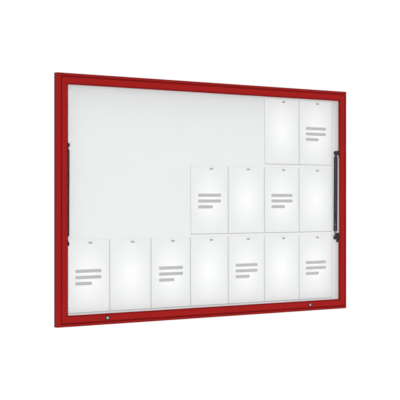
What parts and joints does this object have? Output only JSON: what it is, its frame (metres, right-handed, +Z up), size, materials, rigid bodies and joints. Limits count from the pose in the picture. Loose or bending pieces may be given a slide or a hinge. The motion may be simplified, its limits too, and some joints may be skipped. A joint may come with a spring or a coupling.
{
  "type": "outdoor notice board",
  "caption": "Wall-hung outdoor notice board: red aluminium case, glazed door hinged along the top on gas struts, cam locks and a white magnetic panel.",
  "frame": {"origin": "centre of the wall fixing holes, in the plane of the wall", "axes": "+X along the board to the right as seen from the front, +Y into the wall, +Z up"},
  "size_m": [1.6, 0.038, 1.016],
  "materials": {
    "frame_red": "red powder coat on aluminium",
    "cleat_aluminium": "mill finish",
    "panel_white": "white lacquered steel",
    "glass": "clear toughened",
    "seal_rubber": "matt black",
    "tape_white": "white foam tape",
    "hinge_steel": "dark red powder coat",
    "fixing_steel": "zinc plated",
    "bracket_dark": "dark grey coated steel",
    "strut_dark": "dark grey satin paint",
    "strut_inner": "turned steel",
    "rod_black": "black nitrided",
    "socket_dark": "dark grey moulded",
    "lock_dark": "black zinc casting",
    "lock_chrome": "satin chrome",
    "paper_white": "plain paper",
    "magnet_grey": "grey cap"
  },
  "bodies": {
    "case": {"case_top_rail": "frame_red", "case_bottom_rail": "frame_red", "case_left_stile": "frame_red", "case_right_stile": "frame_red", "case_corner_cleats": "cleat_aluminium", "back_panel": "panel_white", "panel_rivets": "fixing_steel", "door_seal": "seal_rubber", "hinge_case_leaf": "hinge_steel", "hinge_pin": "hinge_steel", "hinge_case_rivets": "fixing_steel", "strut_left_case_bracket": "bracket_dark", "strut_right_case_bracket": "bracket_dark", "case_ball_studs": "fixing_steel", "case_bracket_screws": "fixing_steel", "paper_sheets": "paper_white", "sheet_magnets": "magnet_grey"},
    "door": {"door_top_rail": "frame_red", "door_bottom_rail": "frame_red", "door_left_stile": "frame_red", "door_right_stile": "frame_red", "door_corner_cleats": "cleat_aluminium", "door_glass": "glass", "glazing_tape": "tape_white", "glazing_beads": "frame_red", "hinge_door_leaf": "hinge_steel", "hinge_door_rivets": "fixing_steel", "strut_left_door_bracket": "bracket_dark", "strut_right_door_bracket": "bracket_dark", "door_ball_studs": "fixing_steel", "door_bracket_screws": "fixing_steel", "lock_left_housing": "lock_dark", "lock_right_housing": "lock_dark", "lock_nuts": "fixing_steel"},
    "lock_left": {"lock_left_plug": "lock_chrome", "lock_left_cam": "fixing_steel", "lock_left_cam_screw": "fixing_steel"},
    "strut_left_cylinder": {"strut_left_tube": "strut_dark", "strut_left_end_plug": "strut_inner", "strut_left_rod_guide": "strut_inner", "strut_left_upper_socket": "socket_dark"},
    "strut_left_piston_rod": {"strut_left_rod": "rod_black", "strut_left_piston": "strut_inner", "strut_left_lower_socket": "socket_dark"},
    "lock_right": {"lock_right_plug": "lock_chrome", "lock_right_cam": "fixing_steel", "lock_right_cam_screw": "fixing_steel"},
    "strut_right_cylinder": {"strut_right_tube": "strut_dark", "strut_right_end_plug": "strut_inner", "strut_right_rod_guide": "strut_inner", "strut_right_upper_socket": "socket_dark"},
    "strut_right_piston_rod": {"strut_right_rod": "rod_black", "strut_right_piston": "strut_inner", "strut_right_lower_socket": "socket_dark"}
  },
  "joints": [
    {"name": "door_hinge", "type": "hinge", "parent": "case", "child": "door", "pos_m": [0, -0.034, 0.494], "axis": [-1, 0, 0], "range_deg": [0, 85]},
    {"name": "lock_left_turn", "type": "hinge", "parent": "door", "child": "lock_left", "pos_m": [-0.564, -0.0365, -0.48], "axis": [0, 1, 0], "range_deg": [0, 90]},
    {"name": "strut_left_swing", "type": "hinge", "parent": "door", "child": "strut_left_cylinder", "pos_m": [-0.746, -0.0163, 0.22], "axis": [1, 0, 0], "range_deg": [0, 109.53]},
    {"name": "strut_left_extend", "type": "slide", "parent": "strut_left_cylinder", "child": "strut_left_piston_rod", "axis": [0, 0.0066, -1], "range_m": [0, 0.2969]},
    {"name": "lock_right_turn", "type": "hinge", "parent": "door", "child": "lock_right", "pos_m": [0.564, -0.0365, -0.48], "axis": [0, -1, 0], "range_deg": [0, 90]},
    {"name": "strut_right_swing", "type": "hinge", "parent": "door", "child": "strut_right_cylinder", "pos_m": [0.746, -0.0163, 0.22], "axis": [1, 0, 0], "range_deg": [0, 109.53]},
    {"name": "strut_right_extend", "type": "slide", "parent": "strut_right_cylinder", "child": "strut_right_piston_rod", "axis": [0, 0.0066, -1], "range_m": [0, 0.2969]}
  ],
  "couplings": [
    {"joint": "strut_left_swing", "follows": "door_hinge", "ratio": 1.2885},
    {"joint": "strut_left_extend", "follows": "door_hinge", "m_per_rad": 0.20012},
    {"joint": "strut_right_swing", "follows": "door_hinge", "ratio": 1.2885},
    {"joint": "strut_right_extend", "follows": "door_hinge", "m_per_rad": 0.20012}
  ]
}
